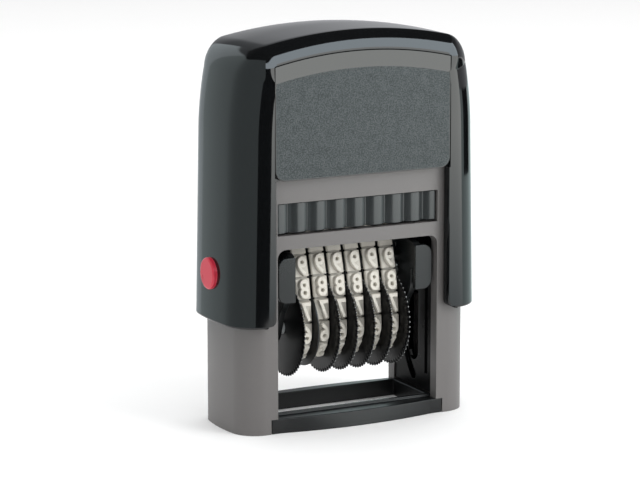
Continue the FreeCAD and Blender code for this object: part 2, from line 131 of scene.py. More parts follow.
def gloss_card(name, start, end, radius, foot, head, glow):
    """A curved card round the stamp from one compass angle to another (0 in front, 90 on the
    left), which only gloss picks up. The glow is one colour, or a list of (height share, colour)."""
    if not isinstance(glow, list):
        glow = [(0.0, glow), (1.0, glow)]
    steps = 24
    corners = []
    for step in range(steps + 1):
        turn = math.radians(start + (end - start) * step / steps)
        side, back = -radius * math.sin(turn), -radius * math.cos(turn)
        corners += [(side, back, foot), (side, back, head)]
    mesh = bpy.data.meshes.new(name)
    strips = [(2 * k, 2 * k + 2, 2 * k + 3, 2 * k + 1) for k in range(steps)]
    mesh.from_pydata(corners, [], strips)
    card = bpy.data.objects.new(name, mesh)
    bpy.context.collection.objects.link(card)
    paint = bpy.data.materials.new(name)
    paint.use_nodes = True
    tree = paint.node_tree
    tree.nodes.remove(tree.nodes["Principled BSDF"])
    light = tree.nodes.new("ShaderNodeEmission")
    place = tree.nodes.new("ShaderNodeTexCoord")
    split = tree.nodes.new("ShaderNodeSeparateXYZ")
    ramp = tree.nodes.new("ShaderNodeValToRGB")
    while len(ramp.color_ramp.elements) < len(glow):
        ramp.color_ramp.elements.new(0.5)
    for stop, (share, colour) in zip(ramp.color_ramp.elements, glow):
        stop.position = share
        stop.color = (*colour, 1)
    light.inputs["Strength"].default_value = card_strength
    tree.links.new(place.outputs["Generated"], split.inputs["Vector"])
    tree.links.new(split.outputs["Z"], ramp.inputs["Fac"])
    tree.links.new(ramp.outputs["Color"], light.inputs["Color"])
    tree.links.new(light.outputs["Emission"], tree.nodes["Material Output"].inputs["Surface"])
    mesh.materials.append(paint)
    card.visible_camera = False
    card.visible_diffuse = False
    card.visible_transmission = False
    card.visible_shadow = False


black = (0, 0, 0)
near_radius = 0.12
gloss_card("white_card", -61.7, -10.0, near_radius, foot=0.001, head=0.085,
           glow=[(0.0, (0.12, 0.135, 0.14)), (0.6, (0.36, 0.37, 0.36)), (1.0, (0.36, 0.37, 0.36))])
gloss_card("fascia_card", -61.7, 30.0, near_radius, foot=0.085, head=0.135, glow=(0.44, 0.5, 0.54))
gloss_card("front_flag", -10.0, 30.0, near_radius, foot=0.001, head=0.085, glow=black)
gloss_card("left_card", 30.0, 150, near_radius, foot=0.001, head=0.15, glow=(0.06, 0.069, 0.07))
gloss_card("back_left_card", 150, 172, near_radius, foot=0.001, head=0.15, glow=(0.09, 0.1, 0.104))
gloss_card("right_card", -155, -61.7, near_radius, foot=0.001, head=0.066, glow=(0.1, 0.12, 0.12))
gloss_card("right_flag", -97, -71, near_radius - 0.002, foot=0.04, head=0.067, glow=black)
gloss_card("back_card", 130, 300, 0.7, foot=0.001, head=0.5,
           glow=[(0.0, (0.05, 0.051, 0.053)), (0.56, (0.046, 0.047, 0.049)),
                 (0.75, (0.02, 0.021, 0.022))])


# ---- Frame --------------------------------------------------------------------------------
# The body of the stamp, injection moulded in warm grey plastic with a satin finish. The foot,
# the guide plates and the ink cartridge all fit into it.
moulded_surface = bpy.data.node_groups.new("moulded_surface", "ShaderNodeTree")


for side, name, kind, value in (
        ("INPUT", "Colour", "NodeSocketColor", (0.5, 0.5, 0.5, 1)),
        ("INPUT", "Cloud", "NodeSocketFloat", 0.1),
        ("INPUT", "Roughness", "NodeSocketFloat", 0.4),
        ("INPUT", "Uneven gloss", "NodeSocketFloat", 0.1),
        ("INPUT", "Grain per metre", "NodeSocketFloat", 3000.0),
        ("OUTPUT", "Colour", "NodeSocketColor", None),
        ("OUTPUT", "Roughness", "NodeSocketFloat", None),
        ("OUTPUT", "Height", "NodeSocketFloat", None)):
    socket = moulded_surface.interface.new_socket(name, in_out=side, socket_type=kind)
    if value is not None:
        socket.default_value = value


def add_node(tree, kind, **values):
    """A node of a material or group, with its inputs set by name."""
    node = tree.nodes.new(kind)
    for name, value in values.items():
        node.inputs[name.replace("_", " ")].default_value = value
    return node


def join(tree, start, end):
    tree.links.new(start, end)


given = moulded_surface.nodes.new("NodeGroupInput")
made = moulded_surface.nodes.new("NodeGroupOutput")
place = moulded_surface.nodes.new("ShaderNodeTexCoord")
drift = add_node(moulded_surface, "ShaderNodeTexNoise", Scale=120.0, Detail=3.0)
grain = add_node(moulded_surface, "ShaderNodeTexNoise", Detail=2.0)
join(moulded_surface, place.outputs["Object"], drift.inputs["Vector"])
join(moulded_surface, place.outputs["Object"], grain.inputs["Vector"])
join(moulded_surface, given.outputs["Grain per metre"], grain.inputs["Scale"])
uneven = moulded_surface.nodes.new("ShaderNodeMix")
uneven.data_type = "FLOAT"
uneven.inputs["Factor"].default_value = 0.35
join(moulded_surface, drift.outputs["Fac"], uneven.inputs[2])
join(moulded_surface, grain.outputs["Fac"], uneven.inputs[3])
centred = moulded_surface.nodes.new("ShaderNodeMath")
centred.operation = "SUBTRACT"
centred.inputs[1].default_value = 0.5
join(moulded_surface, uneven.outputs[0], centred.inputs[0])
tone = moulded_surface.nodes.new("ShaderNodeMath")
tone.operation = "MULTIPLY_ADD"
tone.inputs[2].default_value = 1.0
join(moulded_surface, centred.outputs[0], tone.inputs[0])
join(moulded_surface, given.outputs["Cloud"], tone.inputs[1])
tinted = moulded_surface.nodes.new("ShaderNodeVectorMath")
tinted.operation = "SCALE"
join(moulded_surface, given.outputs["Colour"], tinted.inputs[0])
join(moulded_surface, tone.outputs[0], tinted.inputs["Scale"])
join(moulded_surface, tinted.outputs["Vector"], made.inputs["Colour"])
gloss = moulded_surface.nodes.new("ShaderNodeMath")
gloss.operation = "MULTIPLY_ADD"
join(moulded_surface, centred.outputs[0], gloss.inputs[0])
join(moulded_surface, given.outputs["Uneven gloss"], gloss.inputs[1])
join(moulded_surface, given.outputs["Roughness"], gloss.inputs[2])
join(moulded_surface, gloss.outputs[0], made.inputs["Roughness"])
join(moulded_surface, grain.outputs["Fac"], made.inputs["Height"])


def moulding(name, colour, rough, cloud=0.2, uneven_gloss=0.2, grain_per_metre=3500.0,
             grain_depth=0.00001, grain_strength=0.25, metallic=0.0, specular=0.5):
    """A plastic or metal finish with clouded colour, uneven gloss and a fine grain."""
    material = bpy.data.materials.new(name)
    material.use_nodes = True
    tree = material.node_tree
    shader = tree.nodes["Principled BSDF"]
    shader.inputs["Metallic"].default_value = metallic
    shader.inputs["Specular IOR Level"].default_value = specular
    surface = tree.nodes.new("ShaderNodeGroup")
    surface.node_tree = moulded_surface
    surface.inputs["Colour"].default_value = (*colour, 1)
    surface.inputs["Cloud"].default_value = cloud
    surface.inputs["Roughness"].default_value = rough
    surface.inputs["Uneven gloss"].default_value = uneven_gloss
    surface.inputs["Grain per metre"].default_value = grain_per_metre
    bump = add_node(tree, "ShaderNodeBump", Strength=grain_strength, Distance=grain_depth)
    join(tree, surface.outputs["Colour"], shader.inputs["Base Color"])
    join(tree, surface.outputs["Roughness"], shader.inputs["Roughness"])
    join(tree, surface.outputs["Height"], bump.inputs["Height"])
    join(tree, bump.outputs["Normal"], shader.inputs["Normal"])
    return material


record = frame["record"]
body_of = {node: body for body, nodes in record["behaviour"]["bodies"].items() for node in nodes}


def in_place_of(piece, node):
    """The piece moves with that solid's body, and the solid is hidden from view."""
    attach(piece, body_of[node])
    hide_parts(node)
    return piece


def built(name, solid, finish, node):
    """Turns a bmesh into the named piece, in its finish, in place of a solid."""
    mesh = bpy.data.meshes.new(name)
    solid.to_mesh(mesh)
    solid.free()
    mesh.materials.append(finish)
    piece = bpy.data.objects.new(name, mesh)
    bpy.context.collection.objects.link(piece)
    return in_place_of(piece, node)


def eased(node, name, finish, edge, turn=32, overlap=False, trims=()):
    """The moulded part as it leaves the tool, with its sharp edges rounded off. Each trim is a
    spot and a direction: what lies beyond the plane through that spot is cut off."""
    weld = 2e-6
    flat_within = math.radians(0.4)
    solid = bmesh.new()
    solid.from_mesh(frame["nodes"][node].data)
    bmesh.ops.remove_doubles(solid, verts=solid.verts, dist=weld)
    bmesh.ops.dissolve_limit(solid, angle_limit=flat_within, verts=solid.verts, edges=solid.edges)
    for spot, outward in trims:
        whole = list(solid.verts) + list(solid.edges) + list(solid.faces)
        cut = bmesh.ops.bisect_plane(solid, geom=whole, plane_co=spot, plane_no=outward,
                                     clear_outer=True)
        rim = [item for item in cut["geom_cut"] if isinstance(item, bmesh.types.BMEdge)]
        bmesh.ops.holes_fill(solid, edges=rim, sides=0)
    for face in solid.faces:
        face.smooth = True
        face.material_index = 0
    piece = built(name, solid, finish, node)
    rounding = piece.modifiers.new("rounded_edges", "BEVEL")
    rounding.width = edge
    rounding.segments = 2
    rounding.limit_method = "ANGLE"
    rounding.angle_limit = math.radians(turn)
    rounding.use_clamp_overlap = overlap
    even = piece.modifiers.new("even_shading", "WEIGHTED_NORMAL")
    even.weight = 80


satin_grey = moulding("satin_grey_plastic", (0.135, 0.127, 0.124), 0.42)
# the hidden upper corners are cut back, so that they clear the cap at the end of its stroke
shoulder_cuts = [((side * 0.0292, 0.0, 0.047), (side * 10.0, 0.0, 2.6)) for side in (-1, 1)]
eased("frame_shell", "grey_frame", satin_grey, 0.0002, turn=60, overlap=True, trims=shoulder_cuts)


# ---- Foot and guide plates ----------------------------------------------------------------
# Black mouldings that clip between the legs of the frame. The foot carries the stamp on the
# paper, and the guide plates steer the pins of the die holder.
foot_black = moulding("foot_black_plastic", (0.005, 0.0055, 0.006), 0.34, specular=0.36)
eased("base_foot", "black_foot", foot_black, 0.0002)
guide_black = moulding("guide_black_plastic", (0.0015, 0.0015, 0.0018), 0.3, specular=0.06)
eased("left_guide_plate", "left_guide", guide_black, 0.00015)
eased("right_guide_plate", "right_guide", guide_black, 0.00015)


# ---- Return spring ------------------------------------------------------------------------
# A coil of bright spring wire that stands on the deck of the frame and lifts the cap.
spring_wire = moulding("bright_spring_wire", (0.6, 0.6, 0.58), 0.25, metallic=1.0)
coil = bpy.data.objects.new("coil_spring", frame["nodes"]["return_spring"].data.copy())
coil.data.materials.clear()
coil.data.materials.append(spring_wire)
bpy.context.collection.objects.link(coil)
in_place_of(coil, "return_spring")
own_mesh(coil)


# ---- Ink cartridge ------------------------------------------------------------------------
# A dark grey tray with a ribbed grip on each long side, which slides into the frame, and the
# felt pad soaked in black ink that it holds face down.
tray_grey = moulding("tray_dark_plastic", (0.03, 0.034, 0.035), 0.22)
eased("ink_tray", "ribbed_tray", tray_grey, 0.00015)
inked_felt = moulding("inked_felt", (0.02, 0.02, 0.03), 0.8, cloud=0.8, grain_per_metre=2500.0,
                      grain_depth=0.0001, grain_strength=1.0)
eased("ink_pad", "felt_pad", inked_felt, 0.0003)


# ---- Cap ----------------------------------------------------------------------------------
# The gloss black cap that the hand presses, one moulding with an arched top, a fascia that
# leans back over the clear plates, and a doorway front and rear for the cartridge and the die.
cap_gloss = moulding("gloss_black_plastic", (0.004, 0.0045, 0.005), 0.07, cloud=0.1,
                     uneven_gloss=0.03, grain_per_metre=700.0, grain_depth=0.000002,
                     grain_strength=0.1)
# sizes in millimetres: the body, its corners and walls, the doorway, the clear plate
mm = 0.001
cap_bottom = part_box("cap_shell")[0].z / mm
cap_half_x = 31.3
cap_half_y = 13.8
cap_taper = 1.5 / 69.4
cap_top = 89.0
arch_radius = 105.0
shoulder_radius = 8.5
waist_z = 66.0
waist_curve = 0.0065
corner_radius = 7.5
side_radius = 64.2
rim_radius = 2.3
cap_wall = 2.15
side_wall = 1.0
rear_fall = 1.0
rear_fall_z = 76.0
inner_corner = 6.35
inner_rim = 0.8
doorway_half_x = 21.45
doorway_corner = 2.0
plate_half_x = 21.75
plate_bottom = 57.0
plate_top = 84.55
plate_arch = 95.0
crease_z = plate_top - plate_arch + math.sqrt(plate_arch ** 2 - plate_half_x ** 2)
fascia_lean = math.tan(math.radians(13))
edge_round = 0.4


def arch_z(x, top, radius):
    return top - radius + math.sqrt(radius ** 2 - x ** 2)


def side_x(z):
    """Half width of the cap at a height: a slight taper that curves in above the waist."""
    return cap_half_x - (z - cap_bottom) * cap_taper - waist_curve * max(0.0, z - waist_z) ** 2


def side_lean(z):
    """Angle of the cap's side from upright at a height above the waist."""
    return math.atan(cap_taper + 2 * waist_curve * (z - waist_z))


def cap_outline():
    """Front view of the cap's left half as (x, z, outward x, outward z), bottom to middle, and
    the number of the row at the crease."""
    shoulder_z = 76.0
    settling_rounds = 40
    for settling in range(settling_rounds):
        lean = side_lean(shoulder_z)
        centre_x = side_x(shoulder_z) - shoulder_radius * math.cos(lean)
        centre_z = arch_z(centre_x, cap_top - shoulder_radius, arch_radius - shoulder_radius)
        shoulder_z = centre_z + shoulder_radius * math.sin(lean)
    heights = [cap_bottom + doorway_corner * k / 5 for k in range(6)]
    heights += [*np.linspace(cap_bottom + 4, plate_bottom - 0.05, 14)]
    heights += [*np.linspace(plate_bottom, shoulder_z - 0.5, 16)]
    tilts = [side_lean(z) if z > waist_z else 0.0 for z in heights]
    side = [(-side_x(z), z, -math.cos(tilt), math.sin(tilt)) for z, tilt in zip(heights, tilts)]
    steep = math.atan2(centre_z - cap_top + arch_radius, centre_x)
    to_crease, above = lean, steep
    for halving in range(settling_rounds):
        a = (to_crease + above) / 2
        corner = rim_radius + (corner_radius - rim_radius) * math.cos(a) ** 2
        if centre_z + (shoulder_radius - corner) * math.sin(a) < crease_z:
            to_crease = a
        else:
            above = a
    rows_to_crease = 17
    turns = [*np.linspace(lean, to_crease, rows_to_crease), *np.linspace(to_crease, steep, 10)[1:]]
    bend = []
    for a in turns:
        x, z = -centre_x - shoulder_radius * math.cos(a), centre_z + shoulder_radius * math.sin(a)
        bend.append((x, z, -math.cos(a), math.sin(a)))
    arch = [(-arch_radius * math.cos(a), cap_top - arch_radius + arch_radius * math.sin(a),
             -math.cos(a), math.sin(a)) for a in np.linspace(steep, math.pi / 2, 30)[1:]]
    return side + bend + arch, len(side) + rows_to_crease - 1


def skirt(out_x, out_z, x, z, half_y, round_corner, round_rim, inset):
    """Half of one cut through the cap's wall, from the front face round to the middle of the
    side, as (x, y, z, how far it leans with the fascia)."""
    sideways = out_x * out_x
    bow = max(sideways, 1e-6) / side_radius
    radius = round_rim + (round_corner - round_rim) * sideways
    reach = half_y - radius
    last = math.pi / 2 - math.asin(min(0.5, reach * bow))
    start_y = -half_y + radius * (1 - math.cos(last))
    rows = []
    for phi in np.linspace(0.0, last, 13):
        rows.append((inset + start_y ** 2 * bow / 2 + radius * (math.sin(last) - math.sin(phi)),
                     -half_y + radius * (1 - math.cos(phi)), math.cos(phi)))
    for y in np.linspace(start_y, 0.0, 8)[1:]:
        rows.append((inset + y ** 2 * bow / 2, y, 0.0))
    return [(x - out_x * deep, y, z - out_z * deep, lean) for deep, y, lean in rows]


outline, crease_row = cap_outline()
x, z, out_x, out_z = outline[crease_row]
crease_half_x = -skirt(out_x, out_z, x, z, cap_half_y, corner_radius, rim_radius, 0.0)[0][0]
sections = []
for row, (x, z, out_x, out_z) in enumerate(outline):
    shell = skirt(out_x, out_z, x, z, cap_half_y, corner_radius, rim_radius, 0.0)
    if row <= crease_row:
        door_x = doorway_half_x if z < plate_bottom else plate_half_x
        above = cap_bottom + doorway_corner - z
        if above > 0:
            door_x += doorway_corner - math.sqrt(max(0.0, doorway_corner ** 2 - above ** 2))
        door_z = shell[0][2]
    else:
        door_x = -shell[0][0] * plate_half_x / crease_half_x
        door_z = arch_z(door_x, plate_top, plate_arch)
    lining = skirt(out_x, out_z, x, z, cap_half_y - cap_wall, inner_corner, inner_rim,
                   side_wall + (cap_wall - side_wall) * out_z)
    wide, high = shell[0][0] + door_x, shell[0][2] - door_z
    face_rows = [(0.0, edge_round + 1.2), (0.0, edge_round), (0.03, 0.12), (0.12, 0.0), (0.4, 0.0),
                 (0.7, 0.0)]
    rows = [(-door_x + wide * share, -cap_half_y + deep, door_z + high * share, 1.0)
            for share, deep in face_rows]
    rows += shell
    inside = lining[0]
    rows_in = [(-door_x, -cap_half_y + cap_wall - 0.05, door_z),
               ((inside[0] - door_x) / 2, inside[1], (inside[2] + door_z) / 2)]
    rows_in += [place[:3] for place in lining]
    leant = []
    for px, py, pz, lean in rows:
        crease = arch_z(px, plate_top, plate_arch) if abs(px) < plate_half_x else crease_z
        leant.append((px, py + max(0.0, pz - crease) * fascia_lean * lean, pz))
    behind = []
    for px, py, pz in reversed(leant[:-1]):
        height_share = max(0.0, (pz - rear_fall_z) / (cap_top - rear_fall_z))
        behind.append((px, -py, pz - rear_fall * height_share ** 2 * (py / cap_half_y) ** 2))
    loop = leant + behind
    loop += [(px, -py, pz) for px, py, pz in rows_in] + list(reversed(rows_in[:-1]))
    sections.append(loop)

around = len(sections[0])


def drawn_in(loop, by):
    """One cut through the wall with its outline drawn in, for the rounded lower edge."""
    flat = np.array([(px, py) for px, py, pz in loop])
    along = np.roll(flat, -1, 0) - np.roll(flat, 1, 0)
    along /= np.linalg.norm(along, axis=1)[:, None] + 1e-9
    inward = np.stack([-along[:, 1], along[:, 0]], 1)
    area = np.sum(flat[:, 0] * np.roll(flat[:, 1], -1) - flat[:, 1] * np.roll(flat[:, 0], -1))
    flat = flat + inward * (by if area > 0 else -by)
    return [(*point, loop[0][2]) for point in flat]


lower = []
for angle in (0.0, 0.5, 1.0):
    ring = drawn_in(sections[0], edge_round * (1 - math.sin(angle)))
    lower.append([(px, py, cap_bottom + edge_round * (1 - math.cos(angle))) for px, py, pz in ring])
sections[0] = [(px, py, cap_bottom + edge_round) for px, py, pz in sections[0]]
sections[1] = [(px, py, max(pz, cap_bottom + edge_round + 0.1)) for px, py, pz in sections[1]]
sections = lower + sections
crease_row += len(lower)

cap_solid = bmesh.new()
left = [[cap_solid.verts.new(Vector(p) * mm) for p in loop] for loop in sections]
right = [[cap_solid.verts.new(Vector((-p[0], p[1], p[2])) * mm) for p in loop]
         for loop in sections[:-1]]
right.append(left[-1])
for half, flip in ((left, False), (right, True)):
    for low, high in zip(half, half[1:]):
        for k in range(around):
            near = (k + 1) % around
            quad = (low[k], low[near], high[near], high[k])
            cap_solid.faces.new(quad[::-1] if flip else quad)
    cap_solid.faces.new(half[0] if flip else half[0][::-1])
front_rows = len(face_rows) + len(shell)
creased = []
for half in (left, right):
    line = half[crease_row]
    for k in range(2, 8):
        creased.append((line[k], line[k + 1]))
        other = 2 * front_rows - 2 - k
        creased.append((line[other], line[other - 1]))
bmesh.ops.recalc_face_normals(cap_solid, faces=cap_solid.faces)

# the wall behind each clear plate
plate_recess = 1.3
for side in (-1, 1):
    front, back = (cap_half_y - plate_recess) * side, (cap_half_y - cap_wall) * side
    rim_line = [(-plate_half_x, plate_bottom)]
    rim_line += [(px, arch_z(px, plate_top, plate_arch))
                 for px in np.linspace(-plate_half_x, plate_half_x, 31)]
    rim_line += [(plate_half_x, plate_bottom)]
    faces = [[cap_solid.verts.new(Vector((px, y, pz)) * mm) for px, pz in rim_line]
             for y in (front, back)]
    cap_solid.faces.new(faces[0])
    cap_solid.faces.new(faces[1][::-1])
    for k in range(len(rim_line)):
        near = (k + 1) % len(rim_line)
        cap_solid.faces.new((faces[0][near], faces[0][k], faces[1][k], faces[1][near]))


def polish(solid, sharp):
    """Faces all one way out, shaded smooth except over edges sharper than an angle in degrees."""
    bmesh.ops.recalc_face_normals(solid, faces=solid.faces)
    for face in solid.faces:
        face.smooth = True
    for edge in solid.edges:
        if len(edge.link_faces) == 2 and edge.calc_face_angle() > math.radians(sharp):
            edge.smooth = False


polish(cap_solid, sharp=40)
for first, second in creased:
    edge = cap_solid.edges.get((first, second))
    if edge:
        edge.smooth = False
built("gloss_cap", cap_solid, cap_gloss, "cap_shell")


# ---- Plates and cards ---------------------------------------------------------------------
# A clear plate snaps into the cap's face, front and rear, over black, and carries a matt
# dark card with a fine speckle.
plate_gloss = moulding("clear_plate_over_black", (0.004, 0.0045, 0.005), 0.04, cloud=0.1,
                       uneven_gloss=0.02, grain_per_metre=900.0, grain_depth=0.000001,
                       grain_strength=0.1)
plate_shader = plate_gloss.node_tree.nodes["Principled BSDF"]
plate_shader.inputs["Coat Weight"].default_value = 0.3
plate_shader.inputs["Coat Roughness"].default_value = 0.03
speckled_card = bpy.data.materials.new("speckled_card")
speckled_card.use_nodes = True
card_tree = speckled_card.node_tree
card_shader = card_tree.nodes["Principled BSDF"]
card_shader.inputs["Specular IOR Level"].default_value = 0.2
card_place = card_tree.nodes.new("ShaderNodeTexCoord")
speck = add_node(card_tree, "ShaderNodeTexNoise", Scale=3400.0, Detail=1.0, Roughness=0.6)
card_cloud = add_node(card_tree, "ShaderNodeTexNoise", Scale=500.0, Detail=2.0)
join(card_tree, card_place.outputs["Object"], speck.inputs["Vector"])
join(card_tree, card_place.outputs["Object"], card_cloud.inputs["Vector"])
speck_tones = card_tree.nodes.new("ShaderNodeValToRGB")
dark_speck, pale_speck = speck_tones.color_ramp.elements
dark_speck.position = 0.36
dark_speck.color = (0.034, 0.041, 0.042, 1)
pale_speck.position = 0.66
pale_speck.color = (0.084, 0.094, 0.095, 1)
cloud_share = 0.25
card_mix = card_tree.nodes.new("ShaderNodeMath")
card_mix.operation = "MULTIPLY_ADD"
card_mix.inputs[1].default_value = cloud_share
join(card_tree, card_cloud.outputs["Fac"], card_mix.inputs[0])
card_shift = card_tree.nodes.new("ShaderNodeMath")
card_shift.operation = "SUBTRACT"
card_shift.inputs[1].default_value = cloud_share / 2
join(card_tree, speck.outputs["Fac"], card_shift.inputs[0])
join(card_tree, card_shift.outputs[0], card_mix.inputs[2])
join(card_tree, card_mix.outputs[0], speck_tones.inputs["Fac"])
join(card_tree, speck_tones.outputs["Color"], card_shader.inputs["Base Color"])
card_shader.inputs["Roughness"].default_value = 0.6
card_bump = add_node(card_tree, "ShaderNodeBump", Strength=0.3, Distance=0.00001)
join(card_tree, speck.outputs["Fac"], card_bump.inputs["Height"])
join(card_tree, card_bump.outputs["Normal"], card_shader.inputs["Normal"])

card_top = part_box("front_label")[1].z / mm
card_margin = 0.25
plate_corner = 2.4
plate_front = -cap_half_y + 0.05
plate_back = -cap_half_y + 0.9
card_front = plate_front - 0.03
card_back = -cap_half_y + 0.2


def arched_pane(name, half_x, bottom, top, corner, near_y, far_y, turned, edge, finish, node):
    """A flat pane with an arched top, round lower corners and an eased front edge."""
    def rim(inset):
        low, side = bottom + inset, half_x - inset
        bend = [(side - corner + corner * math.sin(a), low + corner * (1 - math.cos(a)))
                for a in np.linspace(0, math.pi / 2, 9)]
        arch = [(x, arch_z(x, top, plate_arch) - inset) for x in np.linspace(side, -side, 41)]
        return bend + arch + [(-x, z) for x, z in reversed(bend)]

    facing = -mm if turned else mm
    slight = edge * 0.3
    pane = bmesh.new()
    loops = []
    for inset, y in ((0.0, far_y), (0.0, near_y + edge), (slight, near_y + slight), (edge, near_y)):
        loops.append([pane.verts.new((x * facing, y * facing, z * mm)) for x, z in rim(inset)])
    for outer, inner in zip(loops, loops[1:]):
        for k in range(len(outer)):
            near = (k + 1) % len(outer)
            pane.faces.new((outer[k], outer[near], inner[near], inner[k]))
    pane.faces.new(loops[-1])
    pane.faces.new(loops[0][::-1])
    bmesh.ops.recalc_face_normals(pane, faces=pane.faces)
    built(name, pane, finish, node)


for where, turned in (("front", False), ("rear", True)):
    arched_pane(f"{where}_plate", plate_half_x, plate_bottom, plate_top, plate_corner, plate_front,
                plate_back, turned, 0.12, plate_gloss, f"{where}_window")
    arched_pane(f"{where}_card", plate_half_x - card_margin, plate_bottom + card_margin, card_top,
                plate_corner - card_margin, card_front, card_back, turned, 0.01, speckled_card,
                f"{where}_label")


# ---- Yoke ---------------------------------------------------------------------------------
# Black mouldings inside the cap: a bridge under its ceiling, and two arms that hold the pins
# of the die holder.
yoke_black = moulding("yoke_black_plastic", (0.02, 0.02, 0.02), 0.45)
eased("yoke_bridge", "bridge", yoke_black, 0.0003)
eased("left_yoke_arm", "left_arm", yoke_black, 0.0003)
eased("right_yoke_arm", "right_arm", yoke_black, 0.0003)
turned_steel = moulding("turned_steel", (0.55, 0.55, 0.54), 0.28, metallic=1.0)
for pin in ("left_pivot_pin", "right_pivot_pin", "left_follower_pin", "right_follower_pin"):
    eased(pin, pin.replace("_pin", "_steel_pin"), turned_steel, 0.0001)


# ---- Lock buttons -------------------------------------------------------------------------
# Red mouldings low on the cap's sides, each with a flat round head whose rim is rounded off.
# They are pushed in by hand to hold the cap down.
button_red = moulding("red_plastic", (0.62, 0.02, 0.05), 0.3)
eased("left_lock_button", "left_button", button_red, 0.0002)
eased("right_lock_button", "right_button", button_red, 0.0002)


# ---- Die holder ---------------------------------------------------------------------------
# Two black side plates joined by the platen bar and the wheel axle, which two clips hold.
holder_black = moulding("holder_black_plastic", (0.01, 0.0115, 0.012), 0.3, specular=0.4)
eased("left_cheek", "left_side_plate", holder_black, 0.0002)
eased("right_cheek", "right_side_plate", holder_black, 0.0002)
eased("platen_bar", "platen", holder_black, 0.0002)
eased("band_separator", "separator_disc", holder_black, 0.0001)
rod_grey = moulding("axle_rod", (0.55, 0.58, 0.58), 0.3)
eased("wheel_axle", "axle", rod_grey, 0.0002)
clip_steel = moulding("clip_steel", (0.5, 0.5, 0.49), 0.3, metallic=1.0)
eased("left_axle_clip", "left_clip", clip_steel, 0.0001)
eased("right_axle_clip", "right_clip", clip_steel, 0.0001)


# ---- Number bands -------------------------------------------------------------------------
# Six moulded belts of ivory rubber. Each cell between two grooves carries a tall figure in
# mirror image, so that the print reads the right way round.
def painted_light_over(tree, amount, under_colour, painted_colour):
    """A colour with another plain colour painted over it, as far as the amount says: painted shade
    on the bands, a painted highlight on the wheel teeth.
    """
    mix = tree.nodes.new("ShaderNodeMix")
    mix.data_type = "RGBA"
    share, under, over = mix.inputs[0], mix.inputs[6], mix.inputs[7]
    over.default_value = (*painted_colour, 1)
    join(tree, amount, share)
    join(tree, under_colour, under)
    return mix.outputs[2]


rubber = bpy.data.materials.new("ivory_rubber")
rubber.use_nodes = True
rubber_tree = rubber.node_tree
rubber_shader = rubber_tree.nodes["Principled BSDF"]
rubber_surface = rubber_tree.nodes.new("ShaderNodeGroup")
rubber_surface.node_tree = moulded_surface
rubber_surface.inputs["Colour"].default_value = (0.66, 0.63, 0.56, 1)
rubber_surface.inputs["Cloud"].default_value = 0.5
rubber_surface.inputs["Roughness"].default_value = 0.52
rubber_surface.inputs["Uneven gloss"].default_value = 0.3
rubber_surface.inputs["Grain per metre"].default_value = 2600.0
# painted shade: a vertex value named depth darkens the ivory in the grooves, between the figures and
# down their flanks, where shade falls
depth_mark = rubber_tree.nodes.new("ShaderNodeAttribute")
depth_mark.attribute_name = "depth"
shaded_rubber = painted_light_over(rubber_tree, depth_mark.outputs["Fac"], rubber_surface.outputs["Colour"],
                (0.17, 0.16, 0.14))
join(rubber_tree, shaded_rubber, rubber_shader.inputs["Base Color"])
join(rubber_tree, rubber_surface.outputs["Roughness"], rubber_shader.inputs["Roughness"])
rubber_bump = add_node(rubber_tree, "ShaderNodeBump", Strength=0.5, Distance=0.00004)
join(rubber_tree, rubber_surface.outputs["Height"], rubber_bump.inputs["Height"])
join(rubber_tree, rubber_bump.outputs["Normal"], rubber_shader.inputs["Normal"])

# sizes in millimetres: the belt's run round drum and platen, its section, the figures
band_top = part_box("number_band_1")[1].z / mm
axle_z = 21.3
band_radius = 7.8
platen_half = 3.3
band_thick = 1.6
band_half_width = 1.8
figure_height = 1.0
figure_tall = 4.3
figure_wide = 2.35
cells_on_band = 15
first_groove_z = 33.6
characters = "9876543210-/."
# how much painted shade lies on the figure tops, between the figures, on the figure flanks, and
# extra in the grooves
top_unshaded, between_figures, figure_flank, groove_shade = 0.0, 0.22, 0.62, 0.5


def arc_through(start, middle, end, count):
    """Points of the arc through three points, without the last one."""
    (ax, az), (bx, bz), (cx, cz) = start, middle, end
    d = 2 * (ax * (bz - cz) + bx * (cz - az) + cx * (az - bz))
    a2, b2, c2 = ax * ax + az * az, bx * bx + bz * bz, cx * cx + cz * cz
    mid_x = (a2 * (bz - cz) + b2 * (cz - az) + c2 * (az - bz)) / d
    mid_z = (a2 * (cx - bx) + b2 * (ax - cx) + c2 * (bx - ax)) / d
    radius = math.hypot(ax - mid_x, az - mid_z)
    a0, a1, a2 = (math.atan2(z - mid_z, x - mid_x) for x, z in (start, middle, end))
    span = (a2 - a0) % (2 * math.pi)
    if (a1 - a0) % (2 * math.pi) > span:
        span -= 2 * math.pi
    return [(mid_x + radius * math.cos(a0 + span * k / count),
             mid_z + radius * math.sin(a0 + span * k / count)) for k in range(count)]


def band_line():
    """Side view of a band's printing surface as (y, z): platen, front, wheel, rear."""
    lean = math.radians(10)
    low = (-band_radius * math.cos(lean), axle_z + band_radius * math.sin(lean))
    high = (-platen_half, band_top - 2.2)
    side_mid = ((low[0] + high[0]) / 2 - 0.85, (low[1] + high[1]) / 2)
    corner = 1.7
    flat = (-platen_half + corner, band_top)
    corner_low = (-platen_half, band_top - corner)
    corner_mid = (-platen_half + 0.29 * corner, band_top - 0.29 * corner)
    front = [(0.0, band_top)] + arc_through(flat, corner_mid, corner_low, 8)
    front += arc_through(high, side_mid, low, 40)
    rear = [(-y, z) for y, z in reversed(front[1:])]
    wheel = arc_through(low, (0.0, axle_z - band_radius), (-low[0], low[1]), 60)
    return np.array(front + wheel + [(-low[0], low[1])] + rear)


line = band_line()
steps = np.linalg.norm(np.diff(np.vstack([line, line[:1]]), axis=0), axis=1)
along = np.concatenate([[0.0], np.cumsum(steps)])
band_length = along[-1]
cell = band_length / cells_on_band


